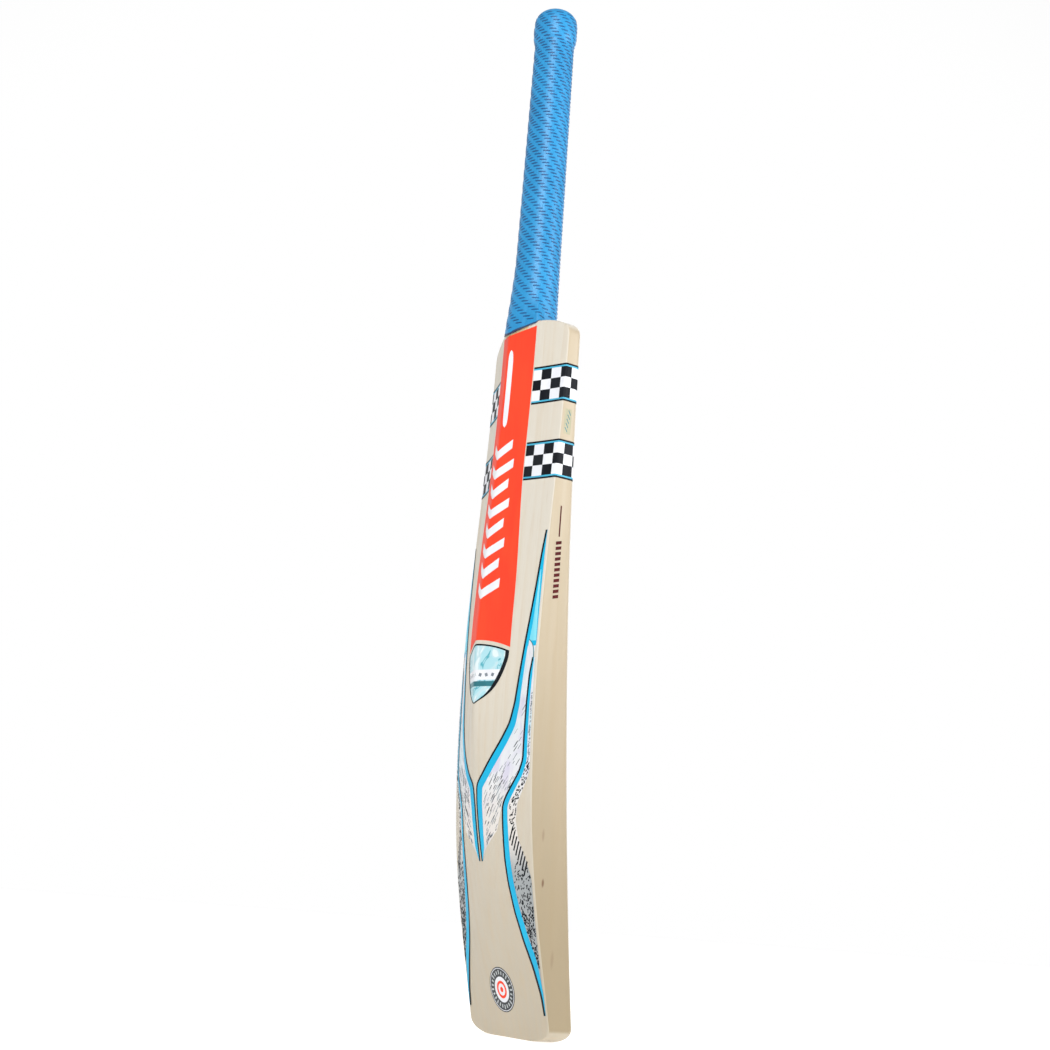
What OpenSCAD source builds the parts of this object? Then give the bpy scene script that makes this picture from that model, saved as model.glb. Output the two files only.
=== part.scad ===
// Cricket bat: a willow blade with a laminated cane handle spliced into it.
// It stands on its toe. +Z runs up the handle, +Y is the spine side and -Y the hitting face.
// The origin lies on the toe plane, in the middle of the bat's outer box.
// Left and right are as seen from the spine side, so right is -X.

/* [Blade] */
// Width of the blade
blade_w = 108; // [104:1:108]
// Height of the shoulders, beside the handle
shoulder_z = 564; // [561:1:568]
// How far the bow carries the toe forward of the shoulders
bow = 36; // [30:1:40]
// Thickness of the edges at the toe
toe_t = 22; // [20:1:25]
// Thickness of the edges at the swell
swell_t = 34.5; // [30:0.5:38]
// Thickness of the edges at the shoulders
shoulder_t = 13; // [12:0.5:15]
// Height of the swell
swell_z = 165; // [150:5:200]
// Height of the spine above the edges
spine_h = 22.5; // [20:0.5:24]
// Height at which the spine is fully raised
spine_z = 330; // [300:10:360]

/* [Splice] */
// Height of the splice's tip
splice_z = 430; // [420:5:450]
// Width of the splice at its tip
splice_tip_w = 8; // [6:1:10]
// Width of the splice at the shoulders
splice_top_w = 34; // [33:1:36]

/* [Handle] */
// Height of the top of the cane
cane_top = 852; // [846:1:852]
// Radius of the cane at the shoulders
cane_r_low = 16.4; // [16:0.1:16.6]
// Radius of the cane at the top
cane_r_top = 14.6; // [14:0.1:15]
// Width of the middle cane strip in each layer
strip_w = 12; // [10:1:14]
// Distance between the rubber springs
spring_pitch = 8; // [7:0.5:9]
// Thickness of a rubber spring
spring_t = 2; // [1.5:0.5:2.5]
// Thickness of the thread binding
binding_t = 0.6; // [0.4:0.1:0.8]

/* [Grip] */
// Overall height of the bat, at the top of the grip
bat_len = 860; // [858:1:862]
// Outer radius of the grip just above its flare
grip_r_low = 18.5; // [18.2:0.1:19]
// Outer radius of the grip just below its top roll
grip_r_top = 16.8; // [16.6:0.1:17.2]
// Outer radius of the roll round the top
roll_r = 18.6; // [18.3:0.1:19.6]
// Radius of the hole in the grip's top
grip_hole_r = 5; // [4:1:7]

/* [Labels] */
// Thickness of a label
label_t = 0.2; // [0.15:0.05:0.3]
// Height of the line where the spine label meets the badge
badge_z = 295; // [290:1:300]
// Radius of the round label at the toe
roundel_r = 16.5; // [14:0.5:18]

/* [Hidden] */
$fn = 64;

// Blade
hw = blade_w / 2;
axis_y = 9.7;          // the handle's axis, so that the whole box is centred
face_drop = 12.8;      // the face at the shoulders, forward of the handle's axis
belly = 1.8;           // how far the face bulges in the middle
hollow = 1.2;          // how far the facets beside the spine are hollowed
toe_flat = 24;         // half-width of the toe's flat
toe_round = 12;        // height of the toe's rounded corners
top_flat = 22;         // half-width of the level part of the shoulders
shoulder_drop = 16;    // height of the rounded shoulders
corner_pow = 2.2;      // 2 would be an ellipse, more is squarer
face_r = 4.5;          // rounding where the face meets the edges
back_r = 1.2;          // rounding where the facets meet the edges
dome_z = 100;          // below this the back is a smooth dome
ridge_z = 260;         // above this it is a ridge
dome_soft = 1.2;
ridge_soft = 0.05;
spine_dip = 0.5;       // how far the spine sinks between the swell and the shoulders

// Splice and handle
fair_z = 600;          // where the handle's root has shrunk to the round cane
root_r = 16.8;         // radius of the root at the shoulders
root_y = 4;            // its offset towards the spine

// Grip
grip_foot_z = 555;     // lowest point of the grip, over the spine
flare_z = 625;         // where the grip starts to flare
roll_z = 828;          // lower side of the roll round the top

// Labels
lift = 0.05;           // a label's clearance over the wood
spine_label_top = 554;

// ---- Curves ----

function mix(a, b, t) = a + (b - a) * t;
function clamp01(t) = min(max(t, 0), 1);
function smooth(t) = let (u = clamp01(t)) u * u * (3 - 2 * u);
// A rounded corner from 0 to 1, steep at the start and level at the end
function corner(t) = pow(1 - pow(1 - clamp01(t), corner_pow), 1 / corner_pow);
// What a rounding of radius r takes off at distance d from an outline
function rounding(r, d) = d >= r ? 0 : r - sqrt(r * r - pow(r - max(d, 0), 2));

// ---- Blade ----

// Half-width of the blade's outline at height z
function half_w(z) =
    z < toe_round ? mix(toe_flat, hw, corner(z / toe_round))
    : z > shoulder_z - shoulder_drop
        ? mix(top_flat, hw, corner((shoulder_z - z) / shoulder_drop))
    : hw;
// Heights of the toe and of the shoulders at a distance x from the middle
function toe_z(x) =
    toe_round * (1 - corner(1 - clamp01((abs(x) - toe_flat) / (hw - toe_flat))));
function top_z(x) =
    shoulder_z - shoulder_drop * (1 - corner(1 - clamp01((abs(x) - top_flat) / (hw - top_flat))));
// Distance in from the outline
function inset(x, z) = max(0, min(half_w(z) - abs(x), z - toe_z(x), top_z(x) - z));

function face_line(z) = axis_y - face_drop - bow * pow(1 - z / shoulder_z, 2);
function edge_t(z) =
    z < swell_z
        ? mix(toe_t, swell_t, pow(sin(90 * max(z, 0) / swell_z), 1.25))
        : mix(shoulder_t, swell_t, 0.5 + 0.5 * cos(180 * (z - swell_z) / (shoulder_z - swell_z)));
function spine(z) =
    z < spine_z
        ? spine_h * pow(sin(90 * max(z, 0) / spine_z), 1.25)
        : spine_h - spine_dip * pow(sin(180 * (z - spine_z) / (shoulder_z - spine_z)), 2);
// Shape of the back from the spine, u = 0, to the edge, u = 1
function roof(u, soft) =
    1 - (sqrt(u * u + soft * soft) - soft) / (sqrt(1 + soft * soft) - soft);
// The back and the face before their outline is rounded
function back_plain_y(x, z) =
    let (u = min(abs(x) / hw, 1), ridge = smooth((z - dome_z) / (ridge_z - dome_z)))
    face_line(z) + edge_t(z) + spine(z) * roof(u, mix(dome_soft, ridge_soft, ridge))
        - hollow * ridge * sin(180 * u);
function front_plain_y(x, z) = face_line(z) - belly * (1 - pow(x / hw, 2));
function back_y(x, z) = back_plain_y(x, z) - rounding(back_r, inset(x, z));
function front_y(x, z) = front_plain_y(x, z) + rounding(face_r, inset(x, z));

// Half-width of the splice at height z
function slot_w(z) =
    mix(splice_tip_w, splice_top_w, clamp01((z - splice_z) / (shoulder_z - splice_z))) / 2;

// Where a section has its points, as fractions of the way from the splice to the edge
steps = [1, 0.965, 0.91, 0.8, 0.62, 0.43, 0.26, 0.12, 0];
step_count = len(steps);

function reversed(list) = [for (i = [len(list) - 1:-1:0]) list[i]];
function range(first, count) = [for (i = [0:count - 1]) first + i];

// A section anticlockwise from above: the back from left to right, then the face
function section(z) =
    let (
        w = half_w(z),
        s = slot_w(z),
        xs = concat(
            [for (f = steps) mix(s, w, f)], [0],
            [for (f = reversed(steps)) -mix(s, w, f)]
        )
    )
    concat(
        [for (x = xs) [x, back_y(x, z), z]],
        [for (x = reversed(xs)) [x, front_y(x, z), z]]
    );

// Heights of the sections: close together where the outline turns
toe_stations = [for (t = [0, 0.03, 0.1, 0.22, 0.42, 0.7, 1]) t * toe_round];
body_stations = [for (z = [32:16:splice_z - 10]) z];
splice_stations = [for (z = [splice_z + 12:12:shoulder_z - 26]) z];
top_stations =
    [for (t = [0, 0.2, 0.4, 0.6, 0.78, 0.9, 0.97, 1]) shoulder_z - shoulder_drop * (1 - t)];

// Rings have n points: those of one side, then those of the other side backwards.
// The faces between rings k and k + 1, for the points on a loop. The two sides are split
// along matching diagonals, which keeps a thin label's thickness even.
function loop_faces(k, loop, n) =
    [for (i = [0:len(loop) - 1])
        let (
            a = k * n + loop[i],
            b = k * n + loop[(i + 1) % len(loop)],
            first_side = loop[i] < n / 2
        )
        each first_side
            ? [[a, a + n, b + n], [a, b + n, b]]
            : [[a, a + n, b], [b, a + n, b + n]]];
// The lower and the upper end of a loop in ring k, across columns i of its two sides
function end_below(k, columns, n) =
    [for (i = columns)
        let (a = k * n + i, b = k * n + n - 1 - i)
        each [[a, a + 1, b - 1], [a, b - 1, b]]];
function end_above(k, columns, n) = [for (f = end_below(k, columns, n)) reversed(f)];

// One solid from the toe to the splice's tip, and two prongs on from there
module blade() {
    stations = concat(toe_stations, body_stations, [splice_z], splice_stations, top_stations);
    fork = len(toe_stations) + len(body_stations);
    last = len(stations) - 1;
    half = 2 * step_count + 1;
    n = 2 * half;
    left = concat(range(0, step_count), range(n - step_count, step_count));
    right = range(step_count + 1, 2 * step_count);
    left_columns = range(0, step_count - 1);
    right_columns = range(step_count + 1, step_count - 1);
    color("#e6dcc4")
    polyhedron(
        points = [for (z = stations) each section(z)],
        faces = concat(
            end_below(0, range(0, half - 1), n),
            [for (k = [0:fork - 1]) each loop_faces(k, range(0, n), n)],
            end_above(fork, [step_count - 1, step_count], n),
            [for (k = [fork:last - 1])
                each concat(loop_faces(k, left, n), loop_faces(k, right, n))],
            end_above(last, left_columns, n),
            end_above(last, right_columns, n)
        ),
        convexity = 6
    );
}

// A solid through a stack of rings, each seen anticlockwise from above
module loft(rings) {
    n = len(rings[0]);
    last = len(rings) - 1;
    columns = range(0, n / 2 - 1);
    polyhedron(
        points = [for (ring = rings) each ring],
        faces = concat(
            end_below(0, columns, n),
            [for (k = [0:last - 1]) each loop_faces(k, range(0, n), n)],
            end_above(last, columns, n)
        ),
        convexity = 4
    );
}

// ---- Handle ----

// The handle's outside above the shoulders, grown by a skin
module handle_above(skin) {
    translate([0, axis_y, fair_z])
        cylinder(
            h = cane_top - fair_z,
            r1 = cane_r_low + skin,
            r2 = cane_r_top + skin
        );
    hull($fn = 32) {
        translate([0, axis_y + root_y, shoulder_z])
            cylinder(h = 0.1, r = root_r + skin);
        translate([0, axis_y, fair_z - 0.1])
            cylinder(h = 0.1, r = cane_r_low + skin);
    }
}

// Layers of cane from the face to the spine, with a rubber spring between neighbours
layer_gaps = [-spring_pitch, 0, spring_pitch];
// A layer's two sides, measured from the handle's axis. Layer 0 is at the face and 3 at the spine
function layer_low(layer) = layer == 0 ? -40 : layer_gaps[layer - 1] + spring_t / 2;
function layer_high(layer) = layer == 3 ? 40 : layer_gaps[layer] - spring_t / 2;

// The tongue of a piece inside the splice, between heights low_z and the shoulders
module tongue(low_z, x_low, x_high, y_low, y_high, columns) {
    heights = concat([low_z], [for (z = concat(splice_stations, top_stations))
        if (z > low_z + 1) z]);
    loft([for (z = heights)
        let (a = x_low(z), b = x_high(z))
        concat(
            [for (i = [0:columns])
                let (x = mix(b, a, i / columns))
                [x, min(back_plain_y(x, z), axis_y + y_high), z]],
            [for (i = [0:columns])
                let (x = mix(a, b, i / columns))
                [x, max(front_plain_y(x, z), axis_y + y_low), z]]
        )]);
}

module handle_slice(x_low, x_high, y_low, y_high) {
    intersection() {
        handle_above(0);
        translate([x_low, axis_y + y_low, shoulder_z - 1])
            cube([x_high - x_low, y_high - y_low, cane_top - shoulder_z + 2]);
    }
}

// A side strip starts where the splice has grown wider than the middle strip
side_low_z =
    splice_z + (shoulder_z - splice_z) * (strip_w + 0.6 - splice_tip_w) / (splice_top_w - splice_tip_w);

// The strip of a layer on the given side: 1 is the left, 0 the middle and -1 the right
module cane_strip(layer, side) {
    half = strip_w / 2;
    y_low = layer_low(layer);
    y_high = layer_high(layer);
    columns = layer == 0 || layer == 3 ? 4 : 1;
    color(side == 0 ? "#c9a56b" : "#d2b27c")
    if (side == 0) {
        tongue(
            splice_z,
            function(z) -min(slot_w(z), half), function(z) min(slot_w(z), half),
            y_low, y_high, columns
        );
        handle_slice(-half, half, y_low, y_high);
    } else {
        mirror([side < 0 ? 1 : 0, 0, 0]) {
            tongue(side_low_z, function(z) half, function(z) slot_w(z), y_low, y_high, columns);
            handle_slice(half, 40, y_low, y_high);
        }
    }
}

// Spring 0 is nearest the face
module rubber_spring(number) {
    y_low = layer_gaps[number] - spring_t / 2;
    y_high = layer_gaps[number] + spring_t / 2;
    color("#2b2b2b") {
        tongue(
            splice_z, function(z) -slot_w(z), function(z) slot_w(z), y_low, y_high, 1
        );
        handle_slice(-40, 40, y_low, y_high);
    }
}

module thread_binding() {
    color("#e8e2d0")
    difference() {
        handle_above(binding_t);
        handle_above(0);
    }
}

// ---- Grip ----

// Radius of the plain sleeve at height z and angle a, where 90 degrees is the spine side
function sleeve_r(z, a) =
    let (
        plain = mix(grip_r_low, grip_r_top, clamp01((z - flare_z) / (roll_z - flare_z))),
        flare = pow(clamp01((flare_z - z) / (flare_z - grip_foot_z)), 1.3),
        to_back = (1 + sin(a)) / 2
    )
    plain + flare * (0.6 + 5 * to_back);
// Radius of the blade's section from the handle's axis, towards the spine or the face
function blade_r(z, a) =
    abs(sin(a)) < 0.3 ? hw
    : sin(a) < 0 ? (axis_y - front_y(0, z)) / -sin(a)
    : let (
        flat_r = (back_y(0, z) - axis_y) / sin(a),
        x = flat_r * cos(a) * 0.8
    )
    (back_y(x, z) - axis_y) / sin(a);
// The foot reaches down over the spine and the face, and stands on the shoulders beside them
function foot_z(a) =
    blade_r(shoulder_z, a) < sleeve_r(grip_foot_z, a) - 0.6 ? grip_foot_z : shoulder_z + 0.2;
// Radius of the hole inside the sleeve
function sleeve_hole_r(z, a) =
    let (
        t = clamp01((z - shoulder_z) / (fair_z - shoulder_z)),
        root = root_r + root_y * sin(a),
        inside = mix(root, cane_r_low, t) - (cane_r_low - cane_r_top)
            * clamp01((z - fair_z) / (cane_top - fair_z)) + binding_t + 0.15
    )
    z < shoulder_z ? min(max(inside, blade_r(z, a) + 0.15), sleeve_r(z, a) - 0.4) : inside;

sleeve_heights = concat([for (z = [shoulder_z + 6:7:600]) z], [for (z = [622:34:800]) z]);
// The roll round the top and the dome over it, as heights and radii
roll_profile = [
    [roll_z, grip_r_top], [roll_z + 3, roll_r - 0.6], [roll_z + 8, roll_r],
    [bat_len - 14, roll_r - 0.1], [bat_len - 8, roll_r - 1.1], [bat_len - 4.5, roll_r - 3.2],
    [bat_len - 1.8, roll_r - 7], [bat_len, grip_hole_r + 2.4], [bat_len - 0.8, grip_hole_r],
    [cane_top + 0.1, grip_hole_r], [cane_top + 0.1, cane_r_top + binding_t + 0.1]
];
grip_angles = [for (a = [0:9:351]) a];

function grip_point(z, r, a) = [r * cos(a), axis_y + r * sin(a), z];

// One closed tube: up the outside, over the roll, into the hole and down the inside
module grip() {
    outside = concat(
        [[for (a = grip_angles) grip_point(foot_z(a), sleeve_r(foot_z(a), a), a)],
         [for (a = grip_angles) let (z = mix(foot_z(a), shoulder_z + 6, 0.5))
            grip_point(z, sleeve_r(z, a), a)]],
        [for (z = sleeve_heights) [for (a = grip_angles) grip_point(z, sleeve_r(z, a), a)]]
    );
    over = [for (p = roll_profile) [for (a = grip_angles) grip_point(p[0], p[1], a)]];
    inside = concat(
        [for (z = reversed(sleeve_heights))
            [for (a = grip_angles) grip_point(z, sleeve_hole_r(z, a), a)]],
        [[for (a = grip_angles) let (z = mix(foot_z(a), shoulder_z + 6, 0.5))
            grip_point(z, sleeve_hole_r(z, a), a)],
         [for (a = grip_angles) grip_point(foot_z(a), sleeve_hole_r(foot_z(a), a), a)]]
    );
    rings = concat(outside, over, inside);
    n = len(grip_angles);
    m = len(rings);
    color("#339fea")
    polyhedron(
        points = [for (ring = rings) each ring],
        faces = [for (k = [0:m - 1], i = [0:n - 1])
            let (j = (i + 1) % n, next = (k + 1) % m)
            each [
                [k * n + i, next * n + i, next * n + j],
                [k * n + i, next * n + j, k * n + j]
            ]],
        convexity = 6
    );
}

// ---- Labels ----

// A label on the back of the blade between x = low(z) and x = high(z)
module back_label(stations, low, high, columns) {
    loft([for (z = stations)
        let (a = low(z), b = high(z))
        concat(
            [for (i = [0:columns])
                let (x = mix(b, a, i / columns))
                [x, back_y(x, z) + lift + label_t, z]],
            [for (i = [0:columns])
                let (x = mix(a, b, i / columns))
                [x, back_y(x, z) + lift, z]]
        )]);
}

function stations(low, high, count) = [for (i = [0:count]) mix(low, high, i / count)];

// Half-width of the spine label
function spine_label_w(z) = mix(29, 24, smooth((z - 330) / 120));

module spine_label() {
    color("#ff4830")
    back_label(
        stations(badge_z, spine_label_top, 22),
        function(z) -spine_label_w(z), function(z) spine_label_w(z), 16
    );
}

// The badge is a shield: square shoulders at the top and two arcs to the tip
badge_h = 47;
badge_half_w = 28;
function badge_w(z) =
    max(0.4, badge_half_w * sin(90 * pow(clamp01((z - badge_z + badge_h) / badge_h), 0.75)));

module badge_label() {
    color("#c8dfe4")
    back_label(
        stations(badge_z - badge_h, badge_z - 0.4, 12),
        function(z) -badge_w(z), function(z) badge_w(z), 12
    );
}

// Bands run from the spine label across the facet and down the edge to the face
band_h = 32;
upper_band_z = 491;
lower_band_z = 427;
band_steps = [0.49, 0.6, 0.72, 0.84, 0.93, 0.97, 0.99];

function band_path(z) = concat(
    [for (s = band_steps) [hw * s, back_y(hw * s, z)]],
    [for (t = [0.02, 0.35, 0.7, 1])
        [hw, mix(back_y(hw, z), front_y(hw, z), t)]]
);
// The path moved outwards by d
function outwards(path, d) =
    [for (i = [0:len(path) - 1])
        let (
            before = path[max(i - 1, 0)],
            after = path[min(i + 1, len(path) - 1)],
            along = after - before
        )
        path[i] + [-along.y, along.x] * d / norm(along)];
function raised(points, z) = [for (p = points) [p.x, p.y, z]];

module band(low_z, side) {
    color("#f4f4f0")
    mirror([side < 0 ? 1 : 0, 0, 0])
        loft([for (z = stations(low_z, low_z + band_h, 3))
            let (path = band_path(z))
            concat(
                raised(reversed(outwards(path, lift + label_t)), z),
                raised(outwards(path, lift), z)
            )]);
}

// Outer panel: a long leaf from the edge to a tip beside the middle. [height, distance out]
outer_line = [
    [130, 2], [172, 2], [186, 3], [196, 11], [211, 21], [221, 27], [233, 33], [248, 36],
    [270, 39], [288, 41.5], [316, 45], [340, 47.5], [366, 50], [384, 51.6]
];
outer_far_line = [
    [130, 2.5], [138, 8], [152, 22], [171, 28.2], [178, 31.7], [195, 42.2], [205, 45.5],
    [240, 46.3], [270, 47.6], [283, 49.6], [293, 52], [384, 52]
];
// Inner panel: from a point on the edge, in to its elbow, and out to the toe's corner
inner_line = [
    [22, 51.6], [34, 50.4], [53, 45.2], [73, 38], [93, 32.7], [114, 29.5], [131, 28.5],
    [160, 28.6], [171, 29], [178, 32.4], [195, 42.8], [205, 46.2], [240, 47], [270, 48.2],
    [283, 50.3]
];
inner_far_line = [
    [22, 52], [115, 52], [119, 51.6], [132, 47.5], [147, 42], [160, 40.4], [172, 42],
    [191, 50.2], [198, 52], [283, 52]
];

module panel(line, far_line, side) {
    low = line[0][0];
    high = line[len(line) - 1][0];
    near = function(z) lookup(z, line);
    far = function(z) max(lookup(z, far_line), lookup(z, line) + 0.3);
    zs = stations(low, high, 24);
    color("#cfe3ea")
    if (side > 0) {
        back_label(zs, near, far, 4);
    } else {
        back_label(zs, function(z) -far(z), function(z) -near(z), 4);
    }
}

roundel_z = 35;

module toe_roundel() {
    half = function(z) sqrt(max(pow(roundel_r, 2) - pow(z - roundel_z, 2), 0.2));
    color("#4d5355")
    back_label(
        [for (a = [-88:11:88]) roundel_z + roundel_r * sin(a)],
        function(z) -half(z), function(z) half(z), 6
    );
}

// A small foil on the right edge, between the bands
foil_z = 464;
foil_h = 21;
foil_w = 8;

module edge_foil() {
    color("#b8c4c8")
    loft([for (z = [foil_z, foil_z + foil_h])
        let (y = mix(front_y(hw, z), back_y(hw, z), 0.5))
        [
            [-hw - lift, y - foil_w / 2, z], [-hw - lift, y + foil_w / 2, z],
            [-hw - lift - label_t, y + foil_w / 2, z], [-hw - lift - label_t, y - foil_w / 2, z]
        ]]);
}

blade();
cane_strip(0, 1);  // cane_strip_face_left
cane_strip(0, 0);  // cane_strip_face_middle
cane_strip(0, -1);  // cane_strip_face_right
cane_strip(1, 1);  // cane_strip_front_left
cane_strip(1, 0);  // cane_strip_front_middle
cane_strip(1, -1);  // cane_strip_front_right
cane_strip(2, 1);  // cane_strip_rear_left
cane_strip(2, 0);  // cane_strip_rear_middle
cane_strip(2, -1);  // cane_strip_rear_right
cane_strip(3, 1);  // cane_strip_spine_left
cane_strip(3, 0);  // cane_strip_spine_middle
cane_strip(3, -1);  // cane_strip_spine_right
rubber_spring(0);  // rubber_spring_front
rubber_spring(1);  // rubber_spring_middle
rubber_spring(2);  // rubber_spring_rear
thread_binding();
grip();
spine_label();
badge_label();
band(upper_band_z, 1);  // upper_band_left
band(upper_band_z, -1);  // upper_band_right
band(lower_band_z, 1);  // lower_band_left
band(lower_band_z, -1);  // lower_band_right
panel(outer_line, outer_far_line, 1);  // outer_panel_left
panel(outer_line, outer_far_line, -1);  // outer_panel_right
panel(inner_line, inner_far_line, 1);  // inner_panel_left
panel(inner_line, inner_far_line, -1);  // inner_panel_right
toe_roundel();
edge_foil();
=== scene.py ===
"""Looks of the cricket bat: a willow blade with printed labels, and a rubber grip over a cane
handle.

Shapes are worked out in millimetres, in the row frame, and turned into metres when a mesh is made.
Left is +X and right is -X, as seen from the spine side.
"""

import math
import random

import bmesh
import bpy
import numpy as np
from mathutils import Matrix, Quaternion, Vector


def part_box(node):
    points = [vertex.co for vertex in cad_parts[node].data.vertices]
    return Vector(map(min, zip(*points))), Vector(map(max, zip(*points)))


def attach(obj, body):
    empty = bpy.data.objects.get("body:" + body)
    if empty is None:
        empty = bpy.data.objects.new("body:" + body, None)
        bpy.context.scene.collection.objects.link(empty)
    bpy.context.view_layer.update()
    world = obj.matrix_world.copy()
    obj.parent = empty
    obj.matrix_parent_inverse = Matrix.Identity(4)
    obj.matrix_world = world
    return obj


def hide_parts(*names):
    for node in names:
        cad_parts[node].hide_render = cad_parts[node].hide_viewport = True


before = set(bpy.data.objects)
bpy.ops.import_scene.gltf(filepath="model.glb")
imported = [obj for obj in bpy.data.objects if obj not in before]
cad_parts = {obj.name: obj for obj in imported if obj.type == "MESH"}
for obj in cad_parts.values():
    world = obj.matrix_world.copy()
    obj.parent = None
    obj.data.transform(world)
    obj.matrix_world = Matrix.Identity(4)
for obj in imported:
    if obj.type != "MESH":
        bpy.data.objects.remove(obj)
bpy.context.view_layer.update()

MM = 0.001

# ---- Driving sizes, from the frame ----

blade_low, blade_high = (np.array(v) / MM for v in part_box("blade"))
spring_low, spring_high = (np.array(v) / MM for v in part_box("rubber_spring_middle"))
HALF_W = (blade_high[0] - blade_low[0]) / 2
SHOULDER_Z = blade_high[2]
BAT_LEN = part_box("grip")[1].z / MM
AXIS_Y = (spring_low[1] + spring_high[1]) / 2  # the middle spring lies on the handle's axis
CANE_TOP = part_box("cane_strip_rear_middle")[1].z / MM

# The blade's form, the same as the CAD blade's
BOW, FACE_DROP, BELLY, HOLLOW = 36, 12.8, 1.8, 1.2
TOE_T, SWELL_T, SHOULDER_T, SWELL_Z = 22, 34.5, 13, 165
SPINE_H, SPINE_Z, SPINE_DIP = 22.5, 330, 0.5
TOE_FLAT, TOE_ROUND, TOP_FLAT, SHOULDER_DROP, CORNER_POW = 24, 12, 22, 16, 2.2
FACE_R, BACK_R = 4.5, 1.2
DOME_Z, RIDGE_Z, DOME_SOFT, RIDGE_SOFT = 100, 260, 1.2, 0.05
SPLICE_Z, SPLICE_TIP_W, SPLICE_TOP_W = 430, 8, 34


def mix(a, b, t):
    return a + (b - a) * t


def clamp01(t):
    return np.clip(t, 0, 1)


def smooth(t):
    u = clamp01(t)
    return u * u * (3 - 2 * u)


def corner(t):
    return (1 - (1 - clamp01(t)) ** CORNER_POW) ** (1 / CORNER_POW)


def rounding(r, d):
    """What a rounding of radius r takes off at distance d from an outline."""
    return np.where(d >= r, 0, r - np.sqrt(np.maximum(r * r - (r - np.minimum(d, r)) ** 2, 0)))


def half_w(z):
    toe = mix(TOE_FLAT, HALF_W, corner(z / TOE_ROUND))
    top = mix(TOP_FLAT, HALF_W, corner((SHOULDER_Z - z) / SHOULDER_DROP))
    return np.where(z < TOE_ROUND, toe, np.where(z > SHOULDER_Z - SHOULDER_DROP, top, HALF_W))


def end_drop(x, flat, drop):
    """How far a rounded end lies inside its plane at distance x from the middle."""
    return drop * (1 - corner(1 - clamp01((np.abs(x) - flat) / (HALF_W - flat))))


def inset(x, z):
    toe = z - end_drop(x, TOE_FLAT, TOE_ROUND)
    top = SHOULDER_Z - end_drop(x, TOP_FLAT, SHOULDER_DROP) - z
    return np.maximum(0, np.minimum(np.minimum(half_w(z) - np.abs(x), toe), top))


def face_line(z):
    return AXIS_Y - FACE_DROP - BOW * (1 - z / SHOULDER_Z) ** 2


def edge_t(z):
    low = mix(TOE_T, SWELL_T, np.sin(math.pi / 2 * clamp01(z / SWELL_Z)) ** 1.25)
    turn = math.pi * (z - SWELL_Z) / (SHOULDER_Z - SWELL_Z)
    return np.where(z < SWELL_Z, low, mix(SHOULDER_T, SWELL_T, 0.5 + 0.5 * np.cos(turn)))


def spine(z):
    low = SPINE_H * np.sin(math.pi / 2 * clamp01(z / SPINE_Z)) ** 1.25
    high = SPINE_H - SPINE_DIP * np.sin(math.pi * (z - SPINE_Z) / (SHOULDER_Z - SPINE_Z)) ** 2
    return np.where(z < SPINE_Z, low, high)


def roof(u, soft):
    return 1 - (np.sqrt(u * u + soft * soft) - soft) / (np.sqrt(1 + soft * soft) - soft)


def back_y(x, z):
    u = np.minimum(np.abs(x) / HALF_W, 1)
    ridge = smooth((z - DOME_Z) / (RIDGE_Z - DOME_Z))
    plain = face_line(z) + edge_t(z) + spine(z) * roof(u, mix(DOME_SOFT, RIDGE_SOFT, ridge))
    return plain - HOLLOW * ridge * np.sin(math.pi * u) - rounding(BACK_R, inset(x, z))


def front_y(x, z):
    return face_line(z) - BELLY * (1 - (x / HALF_W) ** 2) + rounding(FACE_R, inset(x, z))


# ---- Meshes and materials ----


class Build:
    """Collects points in millimetres and faces with a material number, for one piece."""

    def __init__(self):
        self.points, self.faces, self.kinds, self.count = [], [], [], 0

    def add(self, points, faces, kind=0):
        points = np.asarray(points, float).reshape(-1, 3)
        self.points.append(points)
        start = self.count
        self.faces += [tuple(start + i for i in f) for f in faces]
        self.kinds += [kind] * len(faces)
        self.count += len(points)

    def piece(self, name, materials, nodes, sharp=35):
        mesh = bpy.data.meshes.new(name)
        mesh.from_pydata((np.concatenate(self.points) * MM).tolist(), [], self.faces)
        for m in materials:
            mesh.materials.append(m)
        mesh.polygons.foreach_set("material_index", self.kinds)
        mesh.polygons.foreach_set("use_smooth", [True] * len(mesh.polygons))
        work = bmesh.new()
        work.from_mesh(mesh)
        bmesh.ops.recalc_face_normals(work, faces=work.faces)
        work.to_mesh(mesh)
        work.free()
        mesh.set_sharp_from_angle(angle=math.radians(sharp))
        obj = bpy.data.objects.new(name, mesh)
        bpy.context.scene.collection.objects.link(obj)
        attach(obj, "root")
        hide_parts(*nodes)
        return obj


def grid_faces(rows, cols, around=False):
    last = cols if around else cols - 1
    return [
        (
            r * cols + c,
            r * cols + (c + 1) % cols,
            (r + 1) * cols + (c + 1) % cols,
            (r + 1) * cols + c,
        )
        for r in range(rows - 1)
        for c in range(last)
    ]


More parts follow.
